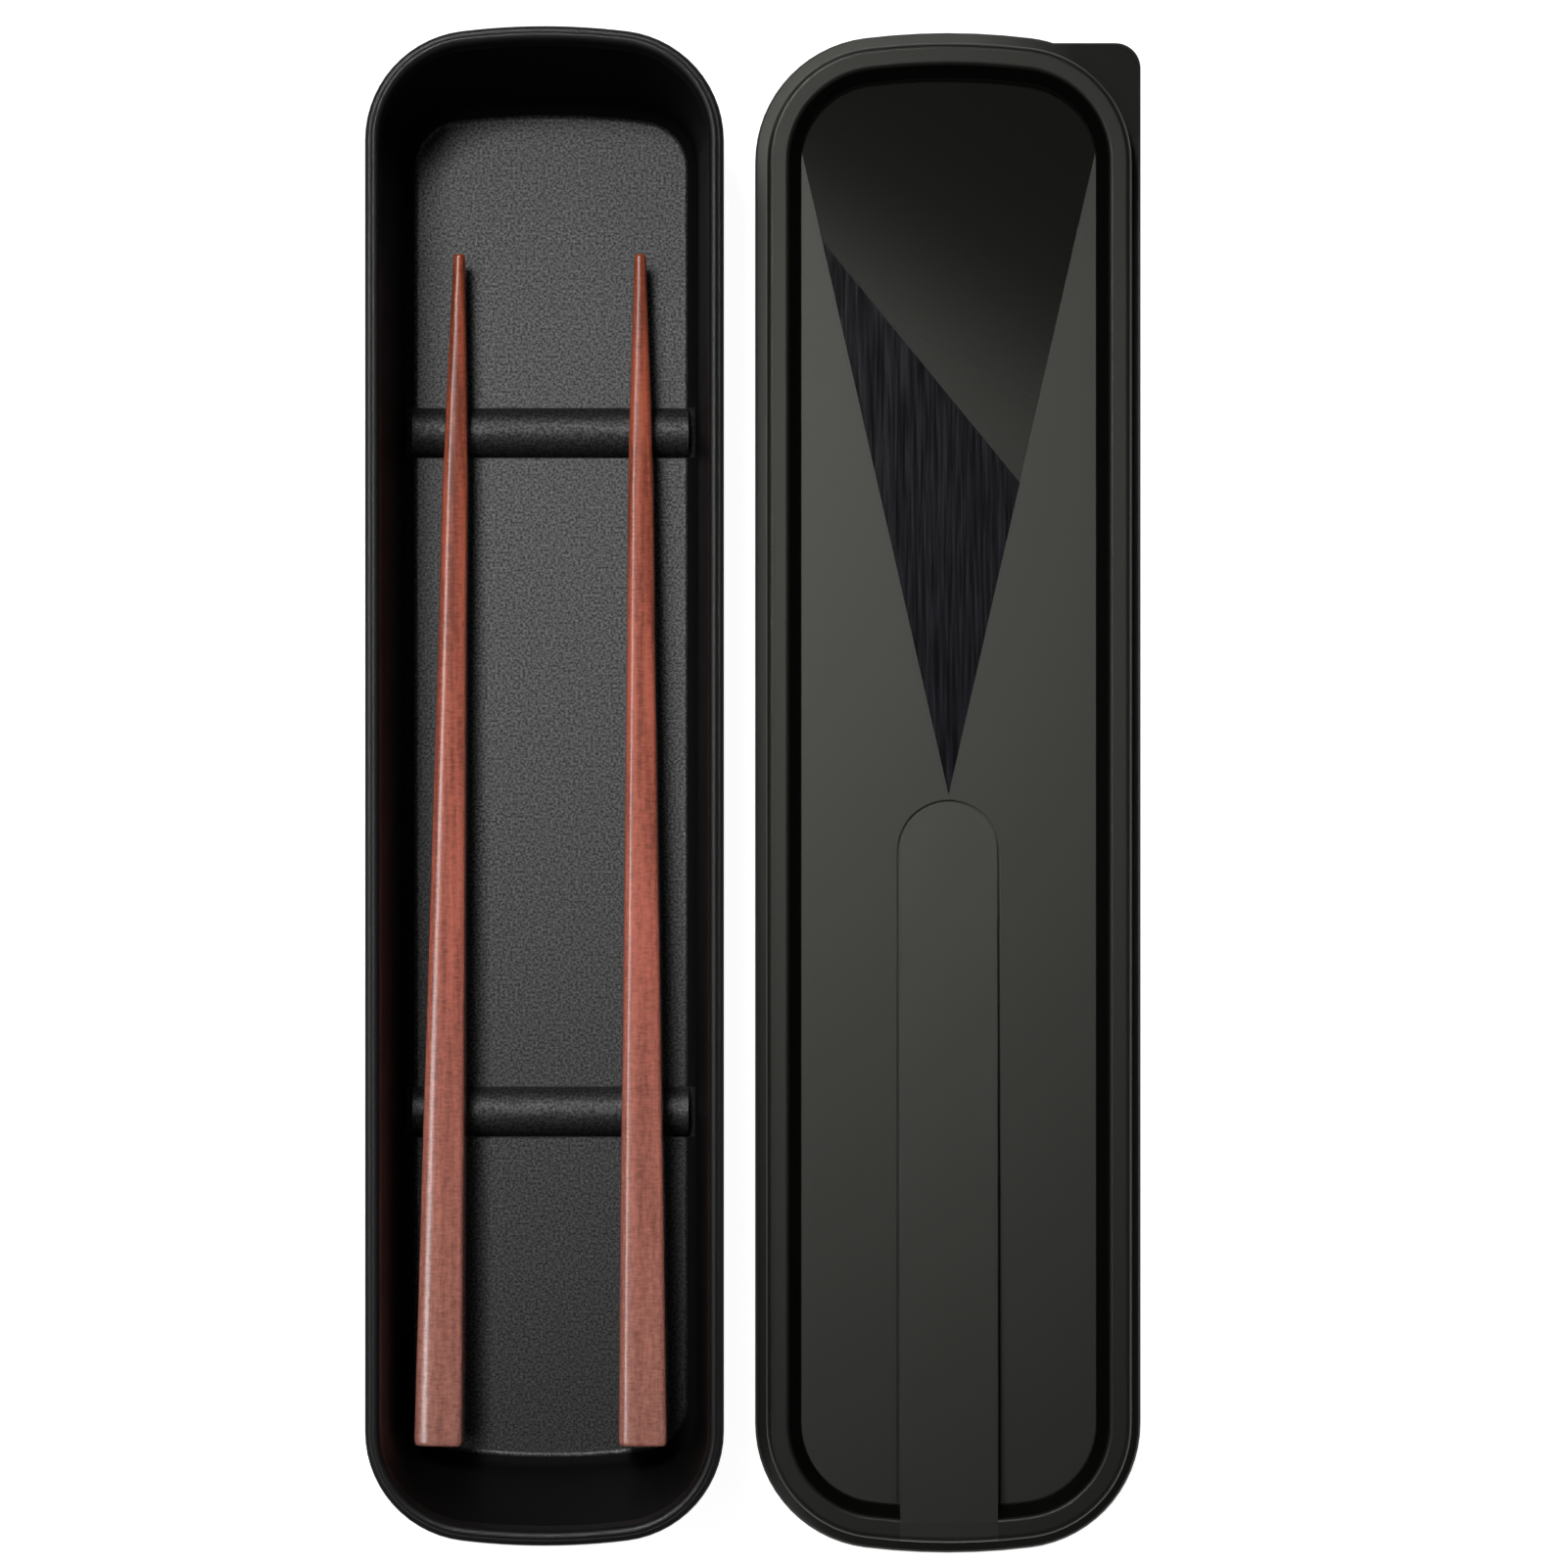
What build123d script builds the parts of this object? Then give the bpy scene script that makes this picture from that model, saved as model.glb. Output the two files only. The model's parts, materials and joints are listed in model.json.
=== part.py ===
from build123d import *
import math
import os

# A travel cutlery box: a deep tray holding two chopsticks, and its push-on lid lying beside it.
# Millimetres. +Z is up and +Y runs along the box. The origin is under the middle of the whole set.

# Tray: the outline of its rim, and how deep it is
rim_length = 235.0
rim_width = 55.5
rim_corner_radius = 17.0
rim_crown_radius = 105.0
tray_height = 27.0

# Tray: walls, floor and the lean of the walls between the rim and the floor
wall_thickness = 1.4
floor_thickness = 1.6
side_lean = 2.5
end_lean = 7.3
foot_corner_radius = 9.0
inside_foot_bevel = 1.2
outside_foot_bevel = 1.6

# Tray: the bevels of the land on top of the wall, and the bead outside it that the lid snaps over
land_bevel = 0.35
bead_reach = 0.85
bead_height = 1.8
bead_drop = 0.55
bead_bevel = 0.35

# Tray: two half-round ribs across the floor, placed from the middle of the tray
rib_width = 7.9
rib_height = 3.4
upper_rib_y = 56.2
lower_rib_y = -51.8

# Chopsticks: a rounded square stick with a long tapered tip, sizes from the tip to the handle end
stick_length = 188.0
tip_width = 1.9
tip_corner_radius = 0.85
neck_station = 37.0
neck_width = 4.3
neck_corner_radius = 1.1
handle_width = 8.05
handle_corner_radius = 1.0
handle_end_bevel = 0.4
stick_seat_gap = 0.2

# Chopsticks: where the tips and the handle ends lie, from the middle of the tray
stick_tip_y = 84.1
left_tip_x = -14.3
left_handle_x = -17.3
right_tip_x = 14.3
right_handle_x = 14.9

# Lid: how it fits the rim
lid_clearance = 0.2
plug_clearance = 0.2
lid_height = 8.0
lid_top_thickness = 1.4
snap_reach = 0.35
snap_height = 1.6
snap_play = 0.3

# Lid: the skirt round the rim, its foot flange and the corner tab that it is pulled off by
skirt_thickness = 0.9
skirt_top_round = 1.0
flange_reach = 1.85
flange_end_extra = 0.6
flange_thickness = 1.2
flange_bevel = 0.35
tab_corner_radius = 4.0
tab_setback = 1.6

# Lid: the sunken panel inside the raised border
recess_depth = 3.0
recess_wall_lean = 2.2
recess_wall_thickness = 0.8
border_round = 0.7
panel_thickness = 1.8

# Lid: the faceted arrow sunk into the panel, placed from the middle of the lid
arrow_tip_y = -0.3
arrow_shoulder_y = 101.8
crease_left_y = 87.6
crease_right_y = 49.2
crease_depth = 0.15
arrow_tip_depth = 0.9
arrow_end_depth = 0.9

# Lid: the raised tongue that ramps up from the panel to the border
tongue_width = 15.4
tongue_arch_y = -1.6
groove_width = 0.5
groove_depth = 0.5

# Layout: the lid lies beside the tray, as far from it as this, and a little nearer the handle ends
lid_gap = 4.7
lid_shift_y = -1.1

# Worked out from the values above
rim_half_width = rim_width / 2
rim_half_length = rim_length / 2
rim_inset = bead_reach + wall_thickness
crown_sine = (rim_half_width - rim_corner_radius) / (rim_crown_radius - rim_corner_radius)
skirt_inset = -(lid_clearance + skirt_thickness)
flange_inset = skirt_inset - flange_reach
flange_half_width = rim_half_width - flange_inset
flange_half_length = rim_half_length - flange_inset + flange_end_extra
panel_z = lid_height - recess_depth
panel_under_z = panel_z - panel_thickness
channel_top_z = lid_height - lid_top_thickness
plug_inset = rim_inset + plug_clearance
plug_lean = end_lean * (channel_top_z - panel_under_z) / (tray_height - floor_thickness)
recess_spread = recess_wall_lean * (channel_top_z - panel_z) / recess_depth
panel_inset = plug_inset + recess_wall_thickness + recess_spread
set_width = rim_width + lid_gap + 2 * flange_half_width
tray_x = rim_half_width - set_width / 2
lid_x = set_width / 2 - flange_half_width
tray_y = -lid_shift_y
lid_y = 0.0


def crowned_face(half_width, half_length, corner_radius, crown_radius):
    """A long face with straight sides, gently bulging ends and round corners."""
    shoulder = half_length - crown_radius + math.sqrt(crown_radius**2 - half_width**2)
    with BuildSketch() as sketch:
        with BuildLine():
            far_end = ThreePointArc((-half_width, shoulder), (0, half_length), (half_width, shoulder))
            near_end = ThreePointArc((half_width, -shoulder), (0, -half_length), (-half_width, -shoulder))
            Line(far_end @ 1, near_end @ 0)
            Line(near_end @ 1, far_end @ 0)
        make_face()
        fillet(sketch.vertices(), corner_radius)
    return sketch.sketch


def rim_face(inset, z=0.0):
    """The rim's outline drawn in by an inset, so that everything made from it stays concentric."""
    face = crowned_face(
        rim_half_width - inset,
        rim_half_length - inset,
        rim_corner_radius - inset,
        rim_crown_radius - inset,
    )
    return Pos(0, 0, z) * face


def wall_face(z, outset=0.0):
    """The cavity's outline at this height, grown by an outset. Its ends spring at one angle all the way down."""
    drop = (tray_height - z) / (tray_height - floor_thickness)
    half_width = rim_half_width - rim_inset - side_lean * drop + outset
    half_length = rim_half_length - rim_inset - end_lean * drop + outset
    corner_shrink = rim_corner_radius - rim_inset - foot_corner_radius
    corner_radius = rim_corner_radius - rim_inset - corner_shrink * drop + outset
    crown_radius = corner_radius + (half_width - corner_radius) / crown_sine
    return Pos(0, 0, z) * crowned_face(half_width, half_length, corner_radius, crown_radius)


def spreading_prism(inset, height, spread):
    """A prism on the rim's outline, whose walls lean out by this much from its foot to its top."""
    return extrude(rim_face(inset), height, taper=-math.degrees(math.atan(spread / height)))


def lowest_face(solid):
    return solid.faces().sort_by(Axis.Z)[0]


def highest_face(solid):
    return solid.faces().sort_by(Axis.Z)[-1]


def rib_bar(y):
    """A round bar whose top shows above the floor as a half-round rib."""
    radius = (rib_width**2 / 4 + rib_height**2) / (2 * rib_height)
    bar = Rot(0, 90, 0) * Cylinder(radius, rim_width)
    return Pos(0, y, floor_thickness + rib_height - radius) * bar


def make_tray():
    """A drafted tub with a flat floor, a snap bead round its rim and two ribs for the chopsticks."""
    outside = [
        wall_face(0, wall_thickness - outside_foot_bevel),
        wall_face(outside_foot_bevel, wall_thickness),
        wall_face(tray_height - land_bevel, wall_thickness),
        wall_face(tray_height, wall_thickness - land_bevel),
    ]
    inside = [
        wall_face(floor_thickness, -inside_foot_bevel),
        wall_face(floor_thickness + inside_foot_bevel),
        wall_face(tray_height - land_bevel),
        wall_face(tray_height, land_bevel),
    ]
    tub = loft(outside, ruled=True)
    bead = extrude(rim_face(0, tray_height - bead_drop - bead_height), bead_height)
    bead = chamfer(lowest_face(bead).edges() + highest_face(bead).edges(), bead_bevel)
    tray = tub + bead - loft(inside, ruled=True)
    for y in (upper_rib_y, lower_rib_y):
        tray = tray + (tub & rib_bar(y))
    return tray


def stick_width_at(station):
    """How wide and thick the chopstick is, this far from its tip."""
    if station < neck_station:
        return tip_width + (neck_width - tip_width) * station / neck_station
    past_neck = (station - neck_station) / (stick_length - neck_station)
    return neck_width + (handle_width - neck_width) * past_neck


def make_chopstick(tip_x, handle_x):
    """A tapered stick lying on its flat underside across both ribs, tip towards +Y."""
    sizes = (
        (0, tip_width, tip_corner_radius),
        (neck_station, neck_width, neck_corner_radius),
        (stick_length, handle_width, handle_corner_radius),
    )
    sections = [
        Plane(origin=(0, -station, 0), x_dir=(1, 0, 0), z_dir=(0, -1, 0)) * RectangleRounded(width, width, radius)
        for station, width, radius in sizes
    ]
    stick = loft(sections, ruled=True)
    stick = chamfer(stick.faces().sort_by(Axis.Y)[0].edges(), handle_end_bevel)
    upper_station = stick_tip_y - upper_rib_y
    lower_station = stick_tip_y - lower_rib_y
    upper_half = stick_width_at(upper_station) / 2
    lower_half = stick_width_at(lower_station) / 2
    pitch = math.asin((lower_half - upper_half) / (lower_station - upper_station))
    swing = math.asin((tip_x - handle_x) / stick_length)
    seat_z = floor_thickness + rib_height + stick_seat_gap
    axis_z = seat_z + upper_half - upper_station * math.sin(pitch)
    stick = Rot(-math.degrees(pitch), 0, 0) * stick
    stick = Rot(0, 0, -math.degrees(swing)) * stick
    return Pos(tip_x, stick_tip_y, axis_z) * stick


def flange_face():
    """The lid's foot outline, with one corner squared off into a pull tab."""
    half_length = flange_half_length - tab_setback
    tab = Pos(flange_half_width / 2, half_length / 2) * Rectangle(flange_half_width, half_length)
    corner = tab.vertices().sort_by(Axis.X)[-2:].sort_by(Axis.Y)[-1]
    tab = fillet(corner, tab_corner_radius)
    foot = crowned_face(
        flange_half_width,
        flange_half_length,
        rim_corner_radius - flange_inset,
        rim_crown_radius - flange_inset,
    )
    return foot + tab


def tongue_face(grow):
    """The tongue's outline, from its round arch to the near end of the lid, grown by a margin."""
    half_width = tongue_width / 2 + grow
    arch_y = tongue_arch_y - tongue_width / 2
    end_y = -(rim_half_length - bead_reach)
    strip = Pos(0, (arch_y + end_y) / 2) * Rectangle(2 * half_width, arch_y - end_y)
    return strip + Pos(0, arch_y) * Circle(half_width)


def plane_through(a, b, c):
    """The plane through three points, facing up when they run anticlockwise seen from above."""
    return Plane(origin=a, x_dir=b - a, z_dir=(b - a).cross(c - a))


def arrow_pocket():
    """The space over two flat facets that fall away from a slanting crease, inside an arrow outline."""
    panel_half_width = rim_half_width - panel_inset
    slope = panel_half_width / (arrow_shoulder_y - arrow_tip_y)
    outline = Polyline(
        (0, arrow_tip_y),
        (panel_half_width, arrow_shoulder_y),
        (panel_half_width, rim_length),
        (-panel_half_width, rim_length),
        (-panel_half_width, arrow_shoulder_y),
        close=True,
    )
    face = make_face(outline.edges()) & rim_face(panel_inset)
    block = extrude(Pos(0, 0, panel_under_z) * face, lid_height - panel_under_z)
    left = Vector(-slope * (crease_left_y - arrow_tip_y), crease_left_y, panel_z - crease_depth)
    right = Vector(slope * (crease_right_y - arrow_tip_y), crease_right_y, panel_z - crease_depth)
    tip = Vector(0, arrow_tip_y, panel_z - arrow_tip_depth)
    end = Vector(0, rim_half_length - panel_inset, panel_z - arrow_end_depth)
    near_space = split(block, bisect_by=plane_through(left, tip, right), keep=Keep.TOP)
    far_space = split(block, bisect_by=plane_through(left, right, end), keep=Keep.TOP)
    return near_space + far_space


def make_lid():
    """A shallow cap: a raised border that straddles the tray's rim round a sunken panel."""
    flange = extrude(flange_face(), flange_thickness)
    flange = chamfer(highest_face(flange).edges(), flange_bevel)
    skirt = extrude(rim_face(skirt_inset), lid_height)
    skirt = fillet(highest_face(skirt).edges(), skirt_top_round)

    # The hollow that the rim enters narrows to a ridge, which snaps in below the tray's bead
    ridge_half = snap_height / 2
    ridge_z = channel_top_z - bead_drop - bead_height - snap_play - ridge_half
    past_ridge = spreading_prism(snap_reach - lid_clearance, ridge_half, snap_reach)
    hollow = extrude(rim_face(-lid_clearance), ridge_z - ridge_half)
    hollow += Pos(0, 0, ridge_z) * Rot(180, 0, 0) * past_ridge
    hollow += Pos(0, 0, ridge_z) * past_ridge
    hollow += extrude(rim_face(-lid_clearance, ridge_z + ridge_half), channel_top_z - ridge_z - ridge_half)

    # The plug inside the hollow leans like the tray's ends, and carries the panel
    plug_height = channel_top_z - panel_under_z
    plug = Pos(0, 0, panel_under_z) * spreading_prism(plug_inset + plug_lean, plug_height, plug_lean)
    recess = Pos(0, 0, panel_z) * spreading_prism(panel_inset, recess_depth, recess_wall_lean)
    cap = flange + skirt - hollow + plug
    lid = cap - recess
    border_edge = highest_face(lid).inner_wires()[0].edges()
    lid = fillet(border_edge, border_round)

    # The tongue starts level with the panel and ends level with the border
    ramp_start = Vector(0, tongue_arch_y, panel_z)
    ramp_end = Vector(0, -(rim_half_length - rim_inset), lid_height)
    ramp_side = Vector(1, tongue_arch_y, panel_z)
    ramp = plane_through(ramp_start, ramp_side, ramp_start * 2 - ramp_end)
    tongue = extrude(Pos(0, 0, panel_under_z) * tongue_face(0), lid_height - panel_under_z)
    tongue = split(tongue, bisect_by=ramp, keep=Keep.BOTTOM) & cap
    groove_ring = (tongue_face(groove_width) - tongue_face(0)) & rim_face(panel_inset)
    groove = extrude(Pos(0, 0, panel_z - groove_depth) * groove_ring, groove_depth)
    return lid - arrow_pocket() + tongue - groove


def save(shape, name):
    export_step(shape, f"parts/{name}.step")


os.makedirs("parts", exist_ok=True)
tray_place = Pos(tray_x, tray_y, 0)
save(tray_place * make_tray(), "tray")
save(tray_place * make_chopstick(left_tip_x, left_handle_x), "chopstick_left")
save(tray_place * make_chopstick(right_tip_x, right_handle_x), "chopstick_right")
save(Pos(lid_x, lid_y, 0) * make_lid(), "lid")
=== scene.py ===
# %% [markdown]
# # A travel cutlery box, dressed for its picture
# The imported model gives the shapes: a deep tray, two chopsticks and a push-on lid. This lesson turns
# them into something that looks moulded, polished and oiled, and then lights and photographs them.
# Everything is in metres, +Z is up, and the camera looks straight down as in the photograph.

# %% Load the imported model
import json
import math

import bpy
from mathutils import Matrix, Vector

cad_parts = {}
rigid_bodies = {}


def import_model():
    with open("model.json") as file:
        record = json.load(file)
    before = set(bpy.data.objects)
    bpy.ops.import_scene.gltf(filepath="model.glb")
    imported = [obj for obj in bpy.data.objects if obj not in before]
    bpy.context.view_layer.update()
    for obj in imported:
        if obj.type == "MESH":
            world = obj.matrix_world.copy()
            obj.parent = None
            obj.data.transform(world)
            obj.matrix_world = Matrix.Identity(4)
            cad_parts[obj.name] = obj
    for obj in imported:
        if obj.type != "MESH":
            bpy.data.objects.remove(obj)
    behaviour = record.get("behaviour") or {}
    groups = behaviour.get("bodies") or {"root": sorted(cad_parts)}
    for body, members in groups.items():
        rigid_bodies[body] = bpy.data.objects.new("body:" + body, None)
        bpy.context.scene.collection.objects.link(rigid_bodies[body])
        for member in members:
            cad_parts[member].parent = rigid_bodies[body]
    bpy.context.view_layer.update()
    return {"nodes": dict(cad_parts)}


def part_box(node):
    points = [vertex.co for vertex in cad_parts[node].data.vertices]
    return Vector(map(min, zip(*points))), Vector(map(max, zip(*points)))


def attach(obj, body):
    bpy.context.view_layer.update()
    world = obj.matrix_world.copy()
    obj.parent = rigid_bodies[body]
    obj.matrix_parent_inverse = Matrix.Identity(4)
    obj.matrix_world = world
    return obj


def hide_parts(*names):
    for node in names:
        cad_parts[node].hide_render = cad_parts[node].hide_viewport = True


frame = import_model()
bpy.ops.object.select_all(action="DESELECT")
for node in sorted(frame["nodes"]):
    low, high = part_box(node)
    print(node, "is", [round(1000 * side, 1) for side in high - low], "mm")

# %% [markdown]
# ## The camera
# The photograph is taken from straight above. Its scale is 6.61 pixels a millimetre at the rim of the
# tray, and less on what lies lower, which puts the lens about 0.85 m above the table. The picture's
# middle falls between the tray and the lid, so no shift is needed.

# %% Camera
PHOTO_SIDE = 1601
FOCAL_PIXELS = 5422.7
SENSOR_WIDTH = 36.0
CAMERA_PLACE = (0.0040, 0.0014, 0.847)
camera_data = bpy.data.cameras.new("camera")
camera_data.sensor_width = SENSOR_WIDTH
camera_data.lens = SENSOR_WIDTH * FOCAL_PIXELS / PHOTO_SIDE
camera = bpy.data.objects.new("camera", camera_data)
camera.location = CAMERA_PLACE
bpy.context.scene.collection.objects.link(camera)
bpy.context.scene.camera = camera
print("lens", round(camera_data.lens, 1), "mm")

# %% [markdown]
# ## Outlines drawn by sweeping a point
# Everything moulded here follows one outline: straight sides, gently bulging ends and round corners.
# Blender's spin operator sweeps whatever is selected round a centre, so a single vertex swept round
# each arc in turn draws that outline exactly. Each finished outline is kept as a vertex group, so that
# it can be picked again by name.

# %% Helpers that draw an outline
MM = 0.001
CORNER_STEPS = 14
CROWN_STEPS = 12
MERGE_DISTANCE = 0.00001


def start_piece(name):
    """An empty mesh object at the origin, in edit mode."""
    bpy.ops.object.select_all(action="DESELECT")
    bpy.ops.mesh.primitive_plane_add(size=MM)
    piece = bpy.context.active_object
    piece.name = name
    piece.data.name = name
    bpy.ops.object.mode_set(mode="EDIT")
    bpy.ops.mesh.select_all(action="SELECT")
    bpy.ops.mesh.delete(type="VERT")
    return piece


def add_point(place):
    """Adds one vertex at a place given in millimetres, and leaves only it selected."""
    bpy.ops.mesh.select_all(action="DESELECT")
    bpy.ops.mesh.primitive_plane_add(size=MM)
    bpy.ops.mesh.merge(type="CENTER")
    bpy.ops.transform.translate(value=Vector(place) * MM)


def sweep(centre, axis, angle, steps):
    """Sweeps the selected vertex round a centre, anticlockwise seen from the axis' far end."""
    bpy.ops.mesh.spin(steps=steps, angle=-angle, center=Vector(centre) * MM, axis=axis)


def run_straight(step):
    """Draws a straight edge from the selected vertex, by a step in millimetres."""
    bpy.ops.mesh.extrude_region_move(TRANSFORM_OT_translate={"value": Vector(step) * MM})


def close_outline(piece, name):
    """Joins the ends of the outline just drawn and keeps it as a vertex group."""
    bpy.ops.mesh.select_linked()
    bpy.ops.mesh.remove_doubles(threshold=MERGE_DISTANCE)
    bpy.ops.object.vertex_group_assign_new()
    piece.vertex_groups.active.name = name


def trace_outline(piece, name, half_width, half_length, corner, crown, z):
    """Draws the moulded outline: straight sides, bulging ends and round corners."""
    lean = math.asin((half_width - corner) / (crown - corner))
    side_y = half_length - crown + (crown - corner) * math.cos(lean)
    add_point((half_width, -side_y, z))
    for turn in (1, -1):
        run_straight((0.0, turn * 2 * side_y, 0.0))
        sweep((turn * (half_width - corner), turn * side_y, z), (0, 0, 1), math.pi / 2 - lean, CORNER_STEPS)
        sweep((0.0, turn * (half_length - crown), z), (0, 0, 1), 2 * lean, CROWN_STEPS)
        sweep((-turn * (half_width - corner), turn * side_y, z), (0, 0, 1), math.pi / 2 - lean, CORNER_STEPS)
    close_outline(piece, name)


print("an arc at a corner has", CORNER_STEPS, "steps, and an end has", CROWN_STEPS)

# %% [markdown]
# ## From outlines to a shell
# Two outlines of equally many points can be bridged with a ring of faces, and the first and last are
# closed with a cap. The edges that the real mould rounds are marked with a bevel weight, so that one
# Bevel modifier can give each its own width. Rounding them by hand would take many more outlines.

# %% Helpers that make a shell
ROUND_STEPS = 4
WIDEST_ROUND = 1.6


def pick(*names):
    """Selects the outlines with these names, and nothing else."""
    bpy.ops.mesh.select_all(action="DESELECT")
    for name in names:
        bpy.ops.object.vertex_group_set_active(group=name)
        bpy.ops.object.vertex_group_select()


def bridge(names):
    """Joins each outline to the next with faces."""
    for lower, upper in zip(names, names[1:]):
        pick(lower, upper)
        bpy.ops.mesh.bridge_edge_loops()


def cap(name):
    """Closes an outline with one flat face."""
    pick(name)
    bpy.ops.mesh.edge_face_add()


def mark_round(name, width):
    """Marks the edge that runs along an outline for rounding, wider where its weight is higher."""
    pick(name)
    bpy.ops.transform.edge_bevelweight(value=width / WIDEST_ROUND)


def apply_modifier(piece, kind, **settings):
    """Adds a modifier, sets it and applies it at once."""
    modifier = piece.modifiers.new(kind.lower(), kind)
    for key, value in settings.items():
        setattr(modifier, key, value)
    bpy.context.view_layer.objects.active = piece
    bpy.ops.object.modifier_apply(modifier=modifier.name)


def close_shell(piece):
    """Points the faces outwards, leaves edit mode and rounds the marked edges."""
    bpy.ops.mesh.select_all(action="SELECT")
    bpy.ops.mesh.normals_make_consistent(inside=False)
    bpy.ops.object.mode_set(mode="OBJECT")
    piece.vertex_groups.clear()
    apply_modifier(piece, "BEVEL", limit_method="WEIGHT", width=WIDEST_ROUND * MM, segments=ROUND_STEPS)
    print(piece.name, "has", len(piece.data.polygons), "faces")


print("the widest round is", WIDEST_ROUND, "mm, in", ROUND_STEPS, "steps")

# %% [markdown]
# ## The tray
# The real tray is one moulding. Nine outlines describe it: up the leaning outside wall, out and over
# the bead that holds the lid, across the land on top, and down the inside to the floor. Bridging them
# makes a closed skin, and the rounds are those that a mould leaves: broad at the foot, tight at the rim.
# Boxes cut from each other could make the walls too, but their corners wouldn't tighten towards the foot
# as these do.

# %% Tray sizes in millimetres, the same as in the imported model
RIM_HALF_WIDTH = 27.75
RIM_HALF_LENGTH = 117.5
RIM_CORNER = 17.0
RIM_CROWN = 105.0
TRAY_HEIGHT = 27.0
FLOOR = 1.6
WALL = 1.4
SIDE_LEAN = 2.5
END_LEAN = 7.3
FOOT_CORNER = 9.0
FOOT_BEVEL = 1.6
BEAD_REACH = 0.85
BEAD_HEIGHT = 1.8
BEAD_DROP = 0.55
RIM_INSET = BEAD_REACH + WALL
CROWN_SINE = (RIM_HALF_WIDTH - RIM_CORNER) / (RIM_CROWN - RIM_CORNER)
tray_low, tray_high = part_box("tray")
TRAY_CENTRE = Vector(((tray_low.x + tray_high.x) / 2, (tray_low.y + tray_high.y) / 2, 0.0))
print("the tray's middle is at", [round(1000 * side, 2) for side in TRAY_CENTRE], "mm")


def trace_rim(piece, name, inset, z):
    """The rim's outline at a height, shrunk by an inset."""
    trace_outline(
        piece, name, RIM_HALF_WIDTH - inset, RIM_HALF_LENGTH - inset, RIM_CORNER - inset, RIM_CROWN - inset, z
    )


def trace_wall(piece, name, z, outset=0.0):
    """The cavity's outline at a height, grown by an outset."""
    drop = (TRAY_HEIGHT - z) / (TRAY_HEIGHT - FLOOR)
    half_width = RIM_HALF_WIDTH - RIM_INSET - SIDE_LEAN * drop + outset
    half_length = RIM_HALF_LENGTH - RIM_INSET - END_LEAN * drop + outset
    corner = RIM_CORNER - RIM_INSET - (RIM_CORNER - RIM_INSET - FOOT_CORNER) * drop + outset
    crown = corner + (half_width - corner) / CROWN_SINE
    trace_outline(piece, name, half_width, half_length, corner, crown, z)


# %% Tray skin
BEAD_TOP = TRAY_HEIGHT - BEAD_DROP
BEAD_FOOT = BEAD_TOP - BEAD_HEIGHT
tray = start_piece("tray_shell")
trace_wall(tray, "foot", 0.0, WALL)
trace_wall(tray, "under bead", BEAD_FOOT, WALL)
trace_rim(tray, "bead foot", 0.0, BEAD_FOOT)
trace_rim(tray, "bead top", 0.0, BEAD_TOP)
trace_rim(tray, "bead root", BEAD_REACH, BEAD_TOP)
trace_rim(tray, "land outside", BEAD_REACH, TRAY_HEIGHT)
trace_rim(tray, "land inside", RIM_INSET, TRAY_HEIGHT)
trace_wall(tray, "wall foot", FLOOR + FOOT_BEVEL)
trace_wall(tray, "floor", FLOOR, -FOOT_BEVEL)
names = [group.name for group in tray.vertex_groups]
land = names.index("land outside")
# The flat land goes first: once both its outlines carry walls, a bridge can't tell which side to fill
bridge(names[land : land + 2])
bridge(names[: land + 1])
bridge(names[land + 1 :])
cap("foot")
cap("floor")
ROUNDS = {
    "foot": 1.6,
    "wall foot": 0.9,
    "floor": 0.3,
    "bead foot": 0.35,
    "bead top": 0.65,
    "land outside": 0.5,
    "land inside": 0.75,
}
for name, width in ROUNDS.items():
    mark_round(name, width)
close_shell(tray)

# %% [markdown]
# ## The ribs
# Two half-round ribs lift the chopsticks off the floor, so that fingers get under them. On the real tray
# they grow out of the floor and end at the foot of the walls. Each is cut from a rod: a cylinder is laid
# across the tray, bisected a little below the floor and joined on with a Boolean, which leaves one
# closed skin with a crisp line where rib and floor meet.

# %% Ribs grown out of the floor
RIB_WIDTH = 7.9
RIB_HEIGHT = 3.4
RIB_HALF_LENGTH = 21.9
RIB_SINK = 0.3
RIB_STEPS = 72
RIB_PLACES = (56.2, -51.8)
rib_radius = (RIB_WIDTH**2 / 4 + RIB_HEIGHT**2) / (2 * RIB_HEIGHT)
for rib_y in RIB_PLACES:
    bpy.ops.object.select_all(action="DESELECT")
    bpy.ops.mesh.primitive_cylinder_add(
        vertices=RIB_STEPS,
        radius=rib_radius * MM,
        depth=2 * RIB_HALF_LENGTH * MM,
        location=Vector((0.0, rib_y, FLOOR + RIB_HEIGHT - rib_radius)) * MM,
        rotation=(0.0, math.pi / 2, 0.0),
    )
    rib = bpy.context.active_object
    bpy.ops.object.transform_apply()
    bpy.ops.object.mode_set(mode="EDIT")
    bpy.ops.mesh.select_all(action="SELECT")
    bpy.ops.mesh.bisect(
        plane_co=(0.0, 0.0, (FLOOR - RIB_SINK) * MM),
        plane_no=(0.0, 0.0, 1.0),
        use_fill=True,
        clear_inner=True,
    )
    bpy.ops.object.mode_set(mode="OBJECT")
    apply_modifier(tray, "BOOLEAN", operation="UNION", solver="EXACT", object=rib)
    bpy.data.objects.remove(rib)
print(tray.name, "with its ribs has", len(tray.data.polygons), "faces")

# %% Put the tray in its place
SMOOTH_ANGLE = math.radians(40)


def choose(piece):
    """Selects one object, and nothing else."""
    bpy.ops.object.select_all(action="DESELECT")
    piece.select_set(True)
    bpy.context.view_layer.objects.active = piece


def weigh_normals(piece):
    """Keeps flat faces flat beside their rounds."""
    choose(piece)
    bpy.ops.object.shade_smooth_by_angle(angle=SMOOTH_ANGLE)
    apply_modifier(piece, "WEIGHTED_NORMAL", keep_sharp=True)


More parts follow.
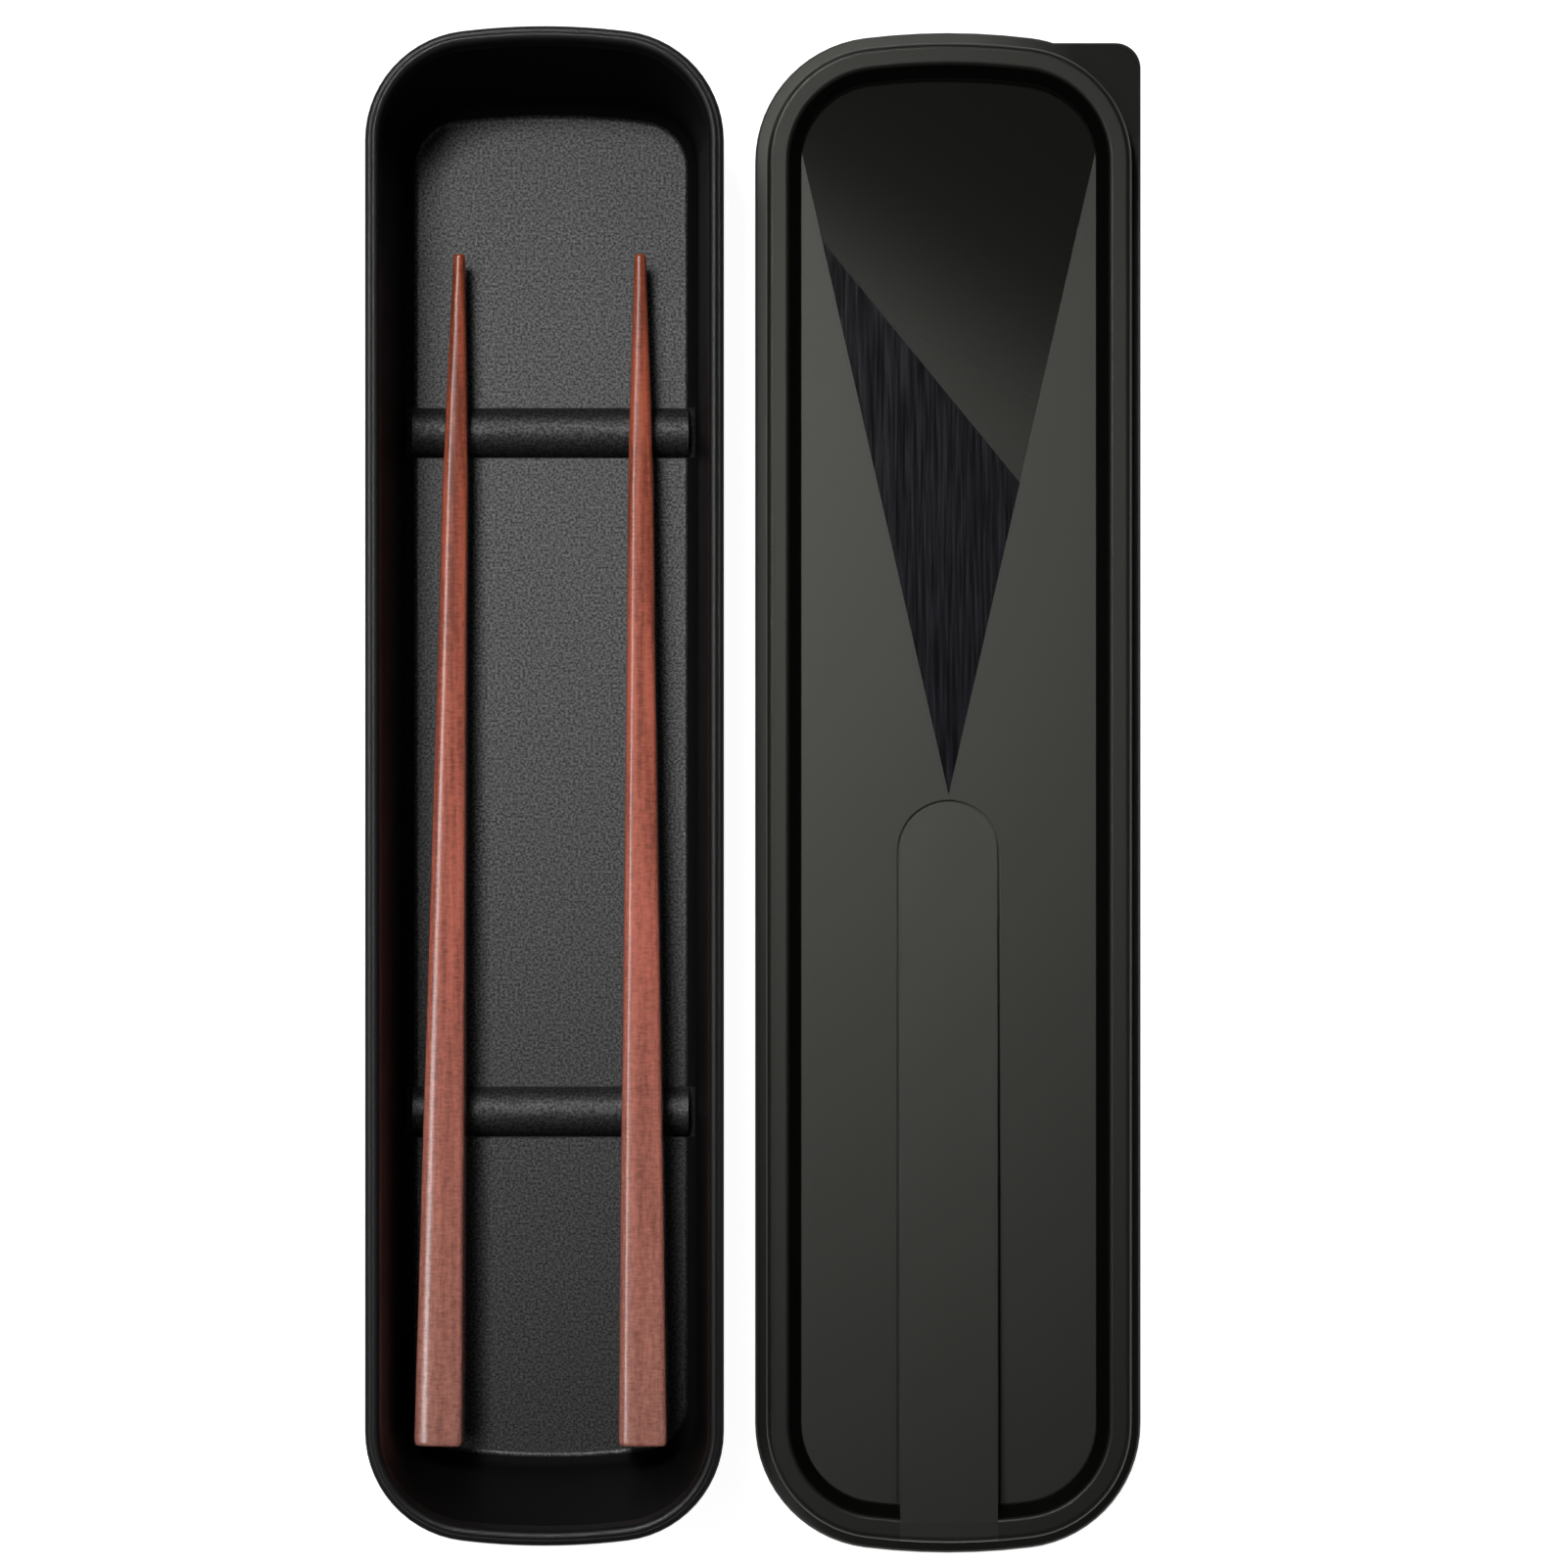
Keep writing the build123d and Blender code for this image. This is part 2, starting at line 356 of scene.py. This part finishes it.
def settle(piece, body, node):
    """Applies the piece's place to its mesh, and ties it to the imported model."""
    choose(piece)
    bpy.ops.object.transform_apply()
    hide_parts(node)
    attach(piece, body)
    print(piece.name, "stands for", node)


weigh_normals(tray)
tray.location = TRAY_CENTRE
settle(tray, "tray", "tray")

# %% [markdown]
# ## The chopsticks
# A chopstick is sawn square and then sanded, so its section goes from a nearly round tip to a square
# handle with soft corners. Its sides aren't quite flat: they swell by a quarter of a millimetre at the
# handle and less towards the tip, and that catches a lamp as one bright line along the stick. Such
# sections are swept at stations along the stick and bridged. The stations follow the widths in the
# photograph: a quick taper to the neck, then a slow one to the handle. A tapered cube would be quicker,
# but its light would be dead flat.

# %% Chopstick sizes in millimetres: distance from the tip, width, corner radius
STICK_LENGTH = 188.0
STICK_STATIONS = (
    (0.0, 1.3, 0.45),
    (0.15, 1.6, 0.6),
    (0.5, 1.85, 0.7),
    (12.0, 2.65, 0.85),
    (24.0, 3.5, 0.95),
    (37.0, 4.2, 1.0),
    (60.0, 4.65, 1.0),
    (100.0, 5.75, 1.0),
    (145.0, 7.05, 1.05),
    (187.3, 8.05, 1.1),
    (187.8, 7.75, 1.0),
    (188.0, 7.2, 0.8),
)
STICK_CORNER_STEPS = 6
STICK_SIDE_STEPS = 6
CROWN_ANGLE = math.radians(10)
PACKED_NECK = 37.0
PACKED_WIDTHS = (1.9, 4.3, 8.05)
TIP_Y = 84.1
SEAT_GAP = 0.2
STICKS = {"chopstick_left": (-14.3, -17.3), "chopstick_right": (14.3, 14.9)}
print(len(STICK_STATIONS), "stations along", STICK_LENGTH, "mm")


def trace_square(piece, name, width, corner, station):
    """Draws a square with softly crowned sides and round corners across the stick."""
    half = width / 2
    crown_cos, crown_sin = math.cos(CROWN_ANGLE), math.sin(CROWN_ANGLE)
    crown = (half - corner * (crown_cos - crown_sin)) / (1 - crown_cos + crown_sin)
    side_z = crown * crown_sin
    inner = (crown - corner) * crown_sin
    add_point((half - crown + crown * crown_cos, -station, -side_z))
    for side_x, side_y in ((1, 0), (0, 1), (-1, 0), (0, -1)):
        side_centre = (side_x * (half - crown), -station, side_y * (half - crown))
        sweep(side_centre, (0, -1, 0), 2 * CROWN_ANGLE, STICK_SIDE_STEPS)
        corner_centre = (inner * (side_x - side_y), -station, inner * (side_x + side_y))
        sweep(corner_centre, (0, -1, 0), math.pi / 2 - 2 * CROWN_ANGLE, STICK_CORNER_STEPS)
    close_outline(piece, name)


def width_at(station):
    """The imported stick's width, which sets how it lies on the ribs."""
    tip_width, neck_width, handle_width = PACKED_WIDTHS
    if station < PACKED_NECK:
        return tip_width + (neck_width - tip_width) * station / PACKED_NECK
    return neck_width + (handle_width - neck_width) * (station - PACKED_NECK) / (STICK_LENGTH - PACKED_NECK)


# %% Chopsticks
upper_station, lower_station = (TIP_Y - rib_y for rib_y in RIB_PLACES)
pitch = math.asin(
    (width_at(lower_station) - width_at(upper_station)) / 2 / (lower_station - upper_station)
)
seat = FLOOR + RIB_HEIGHT + SEAT_GAP
axis_z = seat + width_at(upper_station) / 2 - upper_station * math.sin(pitch)
sticks = []
for node, (tip_x, handle_x) in STICKS.items():
    stick = start_piece(node.replace("chopstick", "stick"))
    for station, width, corner in STICK_STATIONS:
        trace_square(stick, "at " + str(station), width, corner, station)
    names = [group.name for group in stick.vertex_groups]
    bridge(names)
    cap(names[0])
    cap(names[-1])
    close_shell(stick)
    weigh_normals(stick)
    swing = math.asin((tip_x - handle_x) / STICK_LENGTH)
    stick.rotation_euler = (-pitch, 0.0, -swing)
    stick.location = TRAY_CENTRE + Vector((tip_x, TIP_Y, axis_z)) * MM
    settle(stick, node, node)
    sticks.append(stick)
print("the sticks slope by", round(math.degrees(pitch), 2), "degrees")

# %% [markdown]
# ## Materials are small networks
# Each finish is a Principled shader with a few texture nodes that read the piece's own Object
# coordinates. Those don't move when the piece does, and they are in metres, so a noise scale of 2000
# makes grains of about half a millimetre. A plain colour would be quicker, but every surface here shows
# grain, strokes or wood figure. Short helpers keep the networks readable. Many of them make a mask: a
# number that is 1 on one area of the piece and 0 elsewhere, and so chooses between two finishes.

# %% Node helpers
def new_finish(name):
    """An empty material with a Principled shader, and the output that gives Object coordinates."""
    finish = bpy.data.materials.new(name)
    finish.use_nodes = True
    shader = finish.node_tree.nodes["Principled BSDF"]
    place = finish.node_tree.nodes.new("ShaderNodeTexCoord")
    return finish, shader, place.outputs["Object"]


def add_node(finish, kind, inputs=(), **settings):
    """Adds a node. Inputs are pairs of a socket's name or number and a value or an output to link."""
    node = finish.node_tree.nodes.new("ShaderNode" + kind)
    for key, value in settings.items():
        setattr(node, key, value)
    for socket, value in inputs:
        if isinstance(value, bpy.types.NodeSocket):
            finish.node_tree.links.new(value, node.inputs[socket])
        else:
            node.inputs[socket].default_value = value
    return node


def calculate(finish, operation, *values):
    """A Math node's output for these values or outputs."""
    return add_node(finish, "Math", list(enumerate(values)), operation=operation).outputs["Value"]


def axes(finish, vector):
    """The X, Y and Z of a vector."""
    return add_node(finish, "SeparateXYZ", [("Vector", vector)]).outputs[:3]


def wire(finish, shader, outputs):
    """Links outputs to the shader's sockets of these names."""
    for socket, output in outputs.items():
        finish.node_tree.links.new(output, shader.inputs[socket])


# %% Mask helpers
def above(finish, value, limit):
    """1 where a value is over a limit."""
    return calculate(finish, "GREATER_THAN", value, limit)


def below(finish, value, limit):
    """1 where a value is under a limit."""
    return calculate(finish, "LESS_THAN", value, limit)


def overlap(finish, first, *others):
    """1 where all the masks are 1."""
    for mask in others:
        first = calculate(finish, "MULTIPLY", first, mask)
    return first


def within(finish, value, band):
    """1 where a value is between two limits."""
    return overlap(finish, above(finish, value, band[0]), below(finish, value, band[1]))


def either(finish, first, second):
    """1 where one mask or the other is 1."""
    return calculate(finish, "MAXIMUM", first, second)


def elsewhere(finish, mask):
    """1 where a mask is 0."""
    return calculate(finish, "SUBTRACT", 1.0, mask)


def distance(finish, value, middle=0.0):
    """How far a value is from a middle, on either side."""
    return calculate(finish, "ABSOLUTE", calculate(finish, "SUBTRACT", value, middle))


def pick_value(finish, mask, outside, inside):
    """One number where a mask is 1, and another outside it."""
    return add_node(finish, "Mix", [(0, mask), (2, outside), (3, inside)]).outputs[0]


def pick_colour(finish, mask, outside, inside):
    """One colour where a mask is 1, and another outside it."""
    return add_node(finish, "Mix", [(0, mask), (6, outside), (7, inside)], data_type="RGBA").outputs[2]


# %% Texture helpers
def noise(finish, place, scale, detail, stretch=None, roughness=0.5):
    """A noise texture's value. A stretch under 1 on an axis draws the noise out along that axis."""
    if stretch:
        place = add_node(finish, "Mapping", [("Vector", place), ("Scale", stretch)]).outputs["Vector"]
    inputs = [("Vector", place), ("Scale", scale), ("Detail", detail), ("Roughness", roughness)]
    return add_node(finish, "TexNoise", inputs).outputs["Fac"]


def remap(finish, value, old, new, **settings):
    """Turns one range of a value into another, and stops at its ends."""
    inputs = [("Value", value), ("From Min", old[0]), ("From Max", old[1])]
    inputs += [("To Min", new[0]), ("To Max", new[1])]
    return add_node(finish, "MapRange", inputs, **settings).outputs["Result"]


def colour_ramp(finish, value, stops):
    """A colour that runs through stops, each a place from 0 to 1 and a colour."""
    ramp = add_node(finish, "ValToRGB", [("Fac", value)])
    elements = ramp.color_ramp.elements
    while len(elements) < len(stops):
        elements.new(0.5)
    for element, (position, colour) in zip(elements, stops):
        element.position = position
        element.color = colour
    return ramp.outputs["Color"]


def bump(finish, height, strength, depth):
    """A bumped normal. The depth is in metres."""
    inputs = [("Strength", strength), ("Distance", depth), ("Height", height)]
    return add_node(finish, "Bump", inputs).outputs["Normal"]


NOISE_AVERAGE = 0.5
print("a noise scale of 2500 makes grains of", 1000 / 2500, "mm")

# %% [markdown]
# ## Grained black plastic for the tray
# The moulds of such trays are often spark-eroded, which leaves a fine grain. In the photograph the floor
# and the ribs sparkle with it, while the inner walls stay nearly black. So the finish first finds out
# where it is, from heights and distances: on the floor, a rib, the rim or the outside, which is all that
# faces down a little. The floor and the ribs then get a strong grain and a speckled shine,
# and the rim and the outside a plain satin one. Giving the faces separate materials would do too, but
# the modifiers made many of the faces, and each of those would have to be sorted by hand.

# %% Where the tray's floor, ribs, rim and outside are, in metres
FLOOR_REACH = (0.0229, 0.108)
FLOOR_BAND = (0.0014, 0.0019)
RIB_TOP = 0.0054
RIM_FOOT = 0.0246
ribs_middle = TRAY_CENTRE.y + sum(RIB_PLACES) / 2 * MM
rib_offset = (RIB_PLACES[0] - RIB_PLACES[1]) / 2 * MM
tray_finish, tray_shader, tray_place = new_finish("tray_plastic")
tray_x, tray_y, tray_z = axes(tray_finish, tray_place)
past_rib = calculate(tray_finish, "SUBTRACT", distance(tray_finish, tray_y, ribs_middle), rib_offset)
on_rib = overlap(
    tray_finish,
    below(tray_finish, distance(tray_finish, past_rib), RIB_WIDTH / 2 * MM),
    below(tray_finish, tray_z, RIB_TOP),
)
on_floor = overlap(
    tray_finish,
    either(tray_finish, below(tray_finish, tray_z, FLOOR_BAND[1]), on_rib),
    above(tray_finish, tray_z, FLOOR_BAND[0]),
    below(tray_finish, distance(tray_finish, tray_x, TRAY_CENTRE.x), FLOOR_REACH[0]),
    below(tray_finish, distance(tray_finish, tray_y, TRAY_CENTRE.y), FLOOR_REACH[1]),
)
surface = add_node(tray_finish, "NewGeometry")
facing = axes(tray_finish, surface.outputs["Normal"])
on_outside = below(tray_finish, facing[2], 0.0)
on_satin = either(tray_finish, above(tray_finish, tray_z, RIM_FOOT), on_outside)
print("the ribs are", round(2000 * rib_offset, 1), "mm apart")

# %% Tray finish
# The black off the floor and ribs is darker than the floor's, though the tray is one moulding. It is painted
# shade meant for the inner walls, and it covers the rim and the outside too.
WALL_PAINTED_SHADE_COLOUR = (0.0036, 0.0036, 0.0036, 1.0)
FLOOR_COLOUR = (0.006, 0.006, 0.0061, 1.0)
WALL_SHINE = 0.08
SATIN_SHINE = 0.36
GRAIN_RANGE = (0.4, 0.64)
SPARKLE = (0.22, 0.9)
TRAY_ROUGHNESS = (0.42, 0.48)
RIB_ROUGHENED = 0.12
FINE_GRAIN_SHARE = 0.12
grain = noise(tray_finish, tray_place, scale=2500.0, detail=4.0, roughness=0.6)
fine_grain = noise(tray_finish, tray_place, scale=4200.0, detail=1.0)
grain_height = calculate(
    tray_finish,
    "ADD",
    calculate(tray_finish, "MULTIPLY", grain, on_floor),
    calculate(tray_finish, "MULTIPLY", fine_grain, FINE_GRAIN_SHARE),
)
patches = noise(tray_finish, tray_place, scale=60.0, detail=2.0)
gloss = remap(tray_finish, patches, (0.0, 1.0), TRAY_ROUGHNESS)
rib_inside = overlap(tray_finish, on_rib, on_floor)
plain_shine = pick_value(tray_finish, on_satin, WALL_SHINE, SATIN_SHINE)
sparkle = remap(tray_finish, grain, GRAIN_RANGE, SPARKLE)
wire(
    tray_finish,
    tray_shader,
    {
        "Base Color": pick_colour(tray_finish, on_floor, WALL_PAINTED_SHADE_COLOUR, FLOOR_COLOUR),
        "Specular IOR Level": pick_value(tray_finish, on_floor, plain_shine, sparkle),
        "Roughness": calculate(tray_finish, "MULTIPLY_ADD", rib_inside, RIB_ROUGHENED, gloss),
        "Normal": bump(tray_finish, grain_height, strength=0.4, depth=0.00012),
    },
)
print(tray_finish.name, "has", len(tray_finish.node_tree.nodes), "nodes")

# %% [markdown]
# ## Fine matt plastic for the lid, polished in the arrow
# The lid is smoother than the tray and a touch warmer, so its shine is tinted. The arrow's two facets
# are polished: the far one more and more towards its end, and the near one in fine strokes along the
# lid, as if its mould had been finished by hand. They mirror the dark room instead of glowing like the
# panel round them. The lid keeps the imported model's mesh, so its finish has to find the facets from the
# numbers that cut them: a narrow V, a band of heights, and the slanting crease that parts the two.

# %% Where the arrow is, in metres
ARROW_TIP_Y = -0.0003
ARROW_SLOPE = 0.2285
ARROW_BAND = (0.0038, 0.00493)
CREASE_LEFT = (-0.02009, 0.0876)
CREASE_SLOPE = -1.2235
lid_low, lid_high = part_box("lid")
lid_middle = (lid_low.x + lid_high.x) / 2
lid_finish, lid_shader, lid_place = new_finish("lid_plastic")
lid_x, lid_y, lid_z = axes(lid_finish, lid_place)
off_axis = calculate(lid_finish, "SUBTRACT", lid_x, lid_middle)
past_tip = calculate(lid_finish, "SUBTRACT", lid_y, ARROW_TIP_Y)
arrow_half = calculate(lid_finish, "MULTIPLY", past_tip, ARROW_SLOPE)
in_arrow = overlap(
    lid_finish,
    below(lid_finish, distance(lid_finish, off_axis), arrow_half),
    within(lid_finish, lid_z, ARROW_BAND),
)
past_crease = calculate(lid_finish, "SUBTRACT", off_axis, CREASE_LEFT[0])
crease_y = calculate(lid_finish, "MULTIPLY_ADD", past_crease, CREASE_SLOPE, CREASE_LEFT[1])
far_facet = overlap(lid_finish, in_arrow, above(lid_finish, lid_y, crease_y))
near_facet = calculate(lid_finish, "SUBTRACT", in_arrow, far_facet)
print("the lid's middle is at x =", round(1000 * lid_middle, 2), "mm")

# %% Where the lid's tongue, walls, panel, border and flange are, in metres
TONGUE_HALF = 0.0078
WALL_BAND = (0.00505, 0.0076)
PANEL_BAND = (0.0035, 0.0053)
FLANGE_TOP = 0.0034
TAB_FADES = ((0.004, 0.02), (0.085, 0.105))
on_tongue = overlap(
    lid_finish,
    below(lid_finish, distance(lid_finish, off_axis), TONGUE_HALF),
    below(lid_finish, lid_y, 0.0),
)
on_wall = overlap(lid_finish, within(lid_finish, lid_z, WALL_BAND), elsewhere(lid_finish, on_tongue))
on_panel = either(lid_finish, within(lid_finish, lid_z, PANEL_BAND), on_tongue)
on_border = above(lid_finish, lid_z, WALL_BAND[1])
at_tab = overlap(
    lid_finish,
    *(remap(lid_finish, value, fade, (0.0, 1.0)) for value, fade in zip((off_axis, lid_y), TAB_FADES)),
)
on_flange = overlap(lid_finish, below(lid_finish, lid_z, FLANGE_TOP), elsewhere(lid_finish, at_tab))
print("the wall's finish covers heights of", [round(1000 * height, 2) for height in WALL_BAND], "mm")

# %% Lid finish
PLAIN_COLOUR = (0.0075, 0.0075, 0.0062, 1.0)
# The lid's walls, in the recess and on the border's outer side, get a darker black than the rest of the same
# plastic. This darker black is painted shade.
LID_WALL_PAINTED_SHADE_COLOUR = (0.0018, 0.0018, 0.0017, 1.0)
STROKE_COLOURS = ((0.35, (0.002, 0.002, 0.0024, 1.0)), (0.75, (0.009, 0.0088, 0.015, 1.0)))
WARM_SHINE = (1.0, 1.0, 0.93, 1.0)
LID_ROUGHNESS = 0.44
LID_WALL_ROUGHNESS = 0.4
STROKE_RANGE = (0.35, 0.65)
NEAR_ROUGHNESS = (0.125, 0.23)
FAR_ROUGHNESS = (0.31, 0.1)
FAR_FADE = (0.056, 0.108)
FAR_SLANT = 0.5
LID_SHINE = 0.14
AREA_SHINES = ((on_flange, 0.6), (on_border, 0.35), (on_panel, 0.52))
lid_grain = noise(lid_finish, lid_place, scale=3200.0, detail=2.0)
strokes = noise(lid_finish, lid_place, scale=2700.0, detail=4.0, stretch=(1.0, 0.03, 1.0))
lid_height = calculate(
    lid_finish,
    "ADD",
    calculate(lid_finish, "MULTIPLY", lid_grain, elsewhere(lid_finish, in_arrow)),
    calculate(lid_finish, "MULTIPLY", strokes, near_facet),
)
past = calculate(lid_finish, "MULTIPLY_ADD", off_axis, FAR_SLANT, lid_y)
far_polish = remap(lid_finish, past, FAR_FADE, FAR_ROUGHNESS, interpolation_type="SMOOTHSTEP")
near_polish = remap(lid_finish, strokes, STROKE_RANGE, NEAR_ROUGHNESS)
lid_roughness = LID_ROUGHNESS
for area, roughness in ((far_facet, far_polish), (near_facet, near_polish), (on_wall, LID_WALL_ROUGHNESS)):
    lid_roughness = pick_value(lid_finish, area, lid_roughness, roughness)
lid_shine = LID_SHINE
for area, shine in AREA_SHINES:
    lid_shine = pick_value(lid_finish, area, lid_shine, shine)
stroke_colour = colour_ramp(lid_finish, strokes, STROKE_COLOURS)
lid_colour = pick_colour(lid_finish, near_facet, PLAIN_COLOUR, stroke_colour)
wire(
    lid_finish,
    lid_shader,
    {
        "Base Color": pick_colour(lid_finish, on_wall, lid_colour, LID_WALL_PAINTED_SHADE_COLOUR),
        "Specular IOR Level": lid_shine,
        "Roughness": lid_roughness,
        "Normal": bump(lid_finish, lid_height, strength=0.12, depth=0.0001),
    },
)
lid_shader.inputs["Specular Tint"].default_value = WARM_SHINE
print(lid_finish.name, "has", len(lid_finish.node_tree.nodes), "nodes")

# %% [markdown]
# ## Stained wood for the chopsticks
# The sticks are a reddish tropical wood, stained and oiled. Three noises make its figure: fibres drawn
# out along the stick, rays drawn out across it, and long streaks that show most at the tip. Together
# they lighten and darken a stain that pales towards the handle, and raise a bump too slight to feel. The
# oil shows in a low roughness. A Wave texture would draw rings or bands, which a stick this thin doesn't
# show.

# %% Wood finish
STAIN_STOPS = (
    (0.0, (0.225, 0.047, 0.02, 1.0)),
    (0.6, (0.295, 0.086, 0.06, 1.0)),
    (1.0, (0.35, 0.143, 0.11, 1.0)),
)
STAIN_RUN = (0.085, -0.103)
STREAK_AT_TIP = 2.8
STREAK_LOSS = -2.2
MOTTLE_RANGE = (0.6, 1.4)
SHADE_RANGE = (0.64, 1.36)
OILED_ROUGHNESS = 0.16
OILED_SHINE = 0.7
wood_finish, wood_shader, wood_place = new_finish("stained_wood")
fibres = noise(wood_finish, wood_place, scale=2300.0, detail=3.0, stretch=(1.0, 0.22, 1.0))
rays = noise(wood_finish, wood_place, scale=2600.0, detail=2.0, stretch=(0.3, 1.0, 1.0))
streaks = noise(wood_finish, wood_place, scale=900.0, detail=2.0, stretch=(1.0, 0.03, 1.0))
along_stick = remap(wood_finish, axes(wood_finish, wood_place)[1], STAIN_RUN, (0.0, 1.0))
streak_weight = calculate(wood_finish, "MULTIPLY_ADD", along_stick, STREAK_LOSS, STREAK_AT_TIP)
mottle = calculate(
    wood_finish,
    "MULTIPLY_ADD",
    calculate(wood_finish, "SUBTRACT", streaks, NOISE_AVERAGE),
    streak_weight,
    calculate(wood_finish, "ADD", fibres, rays),
)
shade = remap(wood_finish, mottle, MOTTLE_RANGE, SHADE_RANGE)
stain = colour_ramp(wood_finish, along_stick, STAIN_STOPS)
wood_colour = add_node(wood_finish, "VectorMath", [(0, stain), (3, shade)], operation="SCALE")
wire(
    wood_finish,
    wood_shader,
    {
        "Base Color": wood_colour.outputs["Vector"],
        "Normal": bump(wood_finish, mottle, strength=0.04, depth=0.00005),
    },
)
wood_shader.inputs["Roughness"].default_value = OILED_ROUGHNESS
wood_shader.inputs["Specular IOR Level"].default_value = OILED_SHINE
print(wood_finish.name, "has", len(wood_finish.node_tree.nodes), "nodes")

# %% Put the finishes on
FINISHES = [(tray, tray_finish), (frame["nodes"]["lid"], lid_finish)]
FINISHES += [(stick, wood_finish) for stick in sticks]
for piece, finish in FINISHES:
    piece.data.materials.clear()
    piece.data.materials.append(finish)
    print(piece.name, "wears", finish.name)

# %% [markdown]
# ## The table
# The photograph's ground is white. A white sheet would throw so much light back that the black plastic
# turns grey, so this one is grey to the lamps and glows only for rays that come from the camera, or by
# way of a reflection or through glass. It comes out nearly white and still takes the soft shadows.

# %% Table
TABLE_SIZE = 4.0
TABLE_COLOUR = (0.42, 0.42, 0.42, 1.0)
TABLE_ROUGHNESS = 0.9
GLOW_COLOUR = (1.0, 1.0, 1.0, 1.0)
TABLE_GLOW = 0.95
bpy.ops.mesh.primitive_plane_add(size=TABLE_SIZE)
table = bpy.context.active_object
table.name = "table"
table_finish, table_shader = new_finish("pale_table")[:2]
table_shader.inputs["Base Color"].default_value = TABLE_COLOUR
table_shader.inputs["Roughness"].default_value = TABLE_ROUGHNESS
table_shader.inputs["Emission Color"].default_value = GLOW_COLOUR
seen = add_node(table_finish, "LightPath")
glowing = seen.outputs["Is Camera Ray"]
for kind in ("Is Glossy Ray", "Is Transmission Ray"):
    glowing = calculate(table_finish, "ADD", glowing, seen.outputs[kind])
glow = calculate(table_finish, "MULTIPLY", glowing, TABLE_GLOW)
wire(table_finish, table_shader, {"Emission Strength": glow})
table.data.materials.append(table_finish)
print(table.name, "is", TABLE_SIZE, "m wide")

# %% [markdown]
# ## Light
# Three lamps hang round the camera, and a weak even light comes from all round. The softbox stands
# beyond the far end of the box and to its left. Its narrow spread acts like a grid, so its light falls
# off towards the near end, as it does on the floor of the tray in the photograph. The strip is long and
# thin and runs beside the box on the left: it draws the bright line along each stick. The fill opposes
# them from the near right, just enough to open the shadows.

# %% Lamps and world
WORLD_COLOUR = (1.0, 1.0, 1.0, 1.0)
WORLD_STRENGTH = 0.06


def soft_lamp(name, place, target, size, power, spread=180):
    """An area lamp aimed at a point. A narrow spread, in degrees, acts like a grid in front of it."""
    lamp_data = bpy.data.lights.new(name, "AREA")
    lamp_data.shape = "RECTANGLE"
    lamp_data.size, lamp_data.size_y = size
    lamp_data.energy = power
    lamp_data.spread = math.radians(spread)
    lamp = bpy.data.objects.new(name, lamp_data)
    lamp.location = place
    lamp.rotation_euler = (Vector(target) - Vector(place)).to_track_quat("-Z", "Y").to_euler()
    bpy.context.scene.collection.objects.link(lamp)
    print(name, "power", power, "W")


soft_lamp("softbox", (-0.18, 0.3, 0.65), (-0.015, -0.005, 0.0), size=(0.24, 0.18), power=0.205, spread=25)
soft_lamp("strip", (-0.28, -0.01, 0.65), (-0.03, 0.0, 0.0), size=(0.45, 0.02), power=0.58)
soft_lamp("fill", (0.32, -0.34, 0.6), (0.0, 0.0, 0.0), size=(0.6, 0.6), power=0.16)
world = bpy.data.worlds.new("studio")
world.use_nodes = True
world.node_tree.nodes["Background"].inputs["Color"].default_value = WORLD_COLOUR
world.node_tree.nodes["Background"].inputs["Strength"].default_value = WORLD_STRENGTH
bpy.context.scene.world = world
bpy.context.scene.view_settings.view_transform = "Standard"
